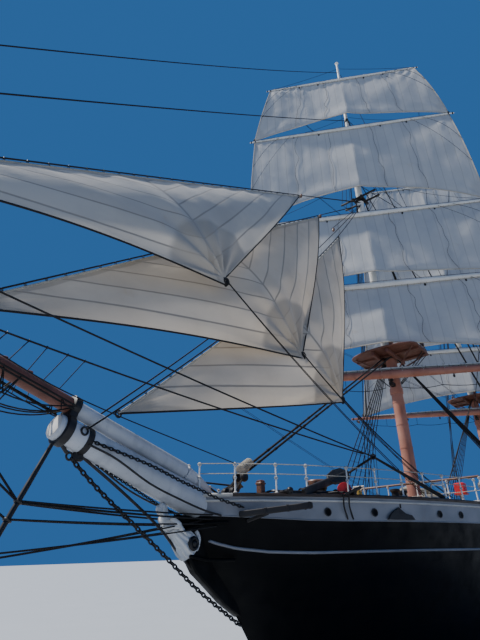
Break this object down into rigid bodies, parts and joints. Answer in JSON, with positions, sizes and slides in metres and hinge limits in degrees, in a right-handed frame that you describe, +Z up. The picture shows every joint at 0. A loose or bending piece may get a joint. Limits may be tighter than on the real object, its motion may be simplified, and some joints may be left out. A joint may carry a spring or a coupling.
{
  "type": "tall ship, 1:10 scale model of an iron three-masted barque",
  "caption": "Three-masted barque afloat under square sails, jibs and spanker, with bracing yards, swinging spanker boom, rudder, wheel and capstan.",
  "frame": {"origin": "on the waterline, on the centreline below the main mast", "axes": "+X to the bow, +Y to port, +Z up"},
  "size_m": [7.9833, 1.8631, 4.7189],
  "materials": {
    "hull_paint": "satin",
    "band_paint": "satin",
    "deck_planks": "matt",
    "red_spars": "satin",
    "white_spars": "satin paint",
    "black_iron": "satin",
    "sailcloth": "woven canvas",
    "rigging": "tarred rope",
    "varnished_wood": "varnish"
  },
  "bodies": {
    "ship": {"hull": "hull_paint", "forecastle": "band_paint", "poop": "band_paint", "bulwark_port": "band_paint", "bulwark_starboard": "band_paint", "figurehead": "white_spars", "bowsprit": "white_spars", "jibboom": "red_spars", "bowsprit_cap": "black_iron", "dolphin_striker": "black_iron", "fore_lower_mast": "red_spars", "fore_upper_mast": "white_spars", "main_lower_mast": "red_spars", "main_upper_mast": "white_spars", "mizzen_lower_mast": "red_spars", "mizzen_upper_mast": "white_spars", "outer_jib": "sailcloth", "inner_jib": "sailcloth", "fore_topmast_staysail": "sailcloth", "outer_jib_stay": "rigging", "inner_jib_stay": "rigging", "fore_topmast_staysail_stay": "rigging", "forestay": "rigging", "fore_topgallant_stay": "rigging", "fore_royal_stay": "rigging", "main_stay": "rigging", "main_topmast_stay": "rigging", "mizzen_stay": "rigging", "deckhouse": "white_spars", "boat_port": "white_spars", "boat_starboard": "white_spars", "anchor_port": "black_iron", "anchor_starboard": "black_iron", "wheel_box": "varnished_wood"},
    "fore_yards": {"fore_lower_yard": "red_spars", "fore_lower_topsail_yard": "white_spars", "fore_upper_topsail_yard": "white_spars", "fore_topgallant_yard": "white_spars", "fore_royal_yard": "white_spars", "fore_course": "sailcloth", "fore_lower_topsail": "sailcloth", "fore_upper_topsail": "sailcloth", "fore_topgallant": "sailcloth", "fore_royal": "sailcloth"},
    "main_yards": {"main_lower_yard": "red_spars", "main_lower_topsail_yard": "white_spars", "main_upper_topsail_yard": "white_spars", "main_topgallant_yard": "white_spars", "main_royal_yard": "white_spars", "main_course": "sailcloth", "main_lower_topsail": "sailcloth", "main_upper_topsail": "sailcloth", "main_topgallant": "sailcloth", "main_royal": "sailcloth"},
    "spanker_boom": {"spanker_boom": "red_spars", "spanker_gaff": "red_spars", "spanker": "sailcloth"},
    "rudder": {"rudder": "hull_paint"},
    "steering_wheel": {"steering_wheel": "varnished_wood"},
    "capstan": {"capstan": "black_iron"}
  },
  "joints": [
    {"name": "fore_brace", "type": "hinge", "parent": "ship", "child": "fore_yards", "pos_m": [1.91, 0, 0.38], "axis": [-0.0267, 0, 0.9996], "range_deg": [-64, 6]},
    {"name": "main_brace", "type": "hinge", "parent": "ship", "child": "main_yards", "pos_m": [0, 0, 0.38], "axis": [-0.0267, 0, 0.9996], "range_deg": [-64, 6]},
    {"name": "spanker_swing", "type": "hinge", "parent": "ship", "child": "spanker_boom", "pos_m": [-1.76, 0, 0.38], "axis": [-0.0267, 0, 0.9996], "range_deg": [-37, 53]},
    {"name": "rudder_hinge", "type": "hinge", "parent": "ship", "child": "rudder", "pos_m": [-2.8565, 0, 0], "axis": [0, 0, 1], "range_deg": [-35, 35]},
    {"name": "wheel_spin", "type": "hinge", "parent": "ship", "child": "steering_wheel", "pos_m": [-2.76, 0, 0.62], "axis": [1, 0, 0], "continuous": true},
    {"name": "capstan_spin", "type": "hinge", "parent": "ship", "child": "capstan", "pos_m": [2.82, 0, 0.505], "axis": [0, 0, 1], "continuous": true}
  ]
}
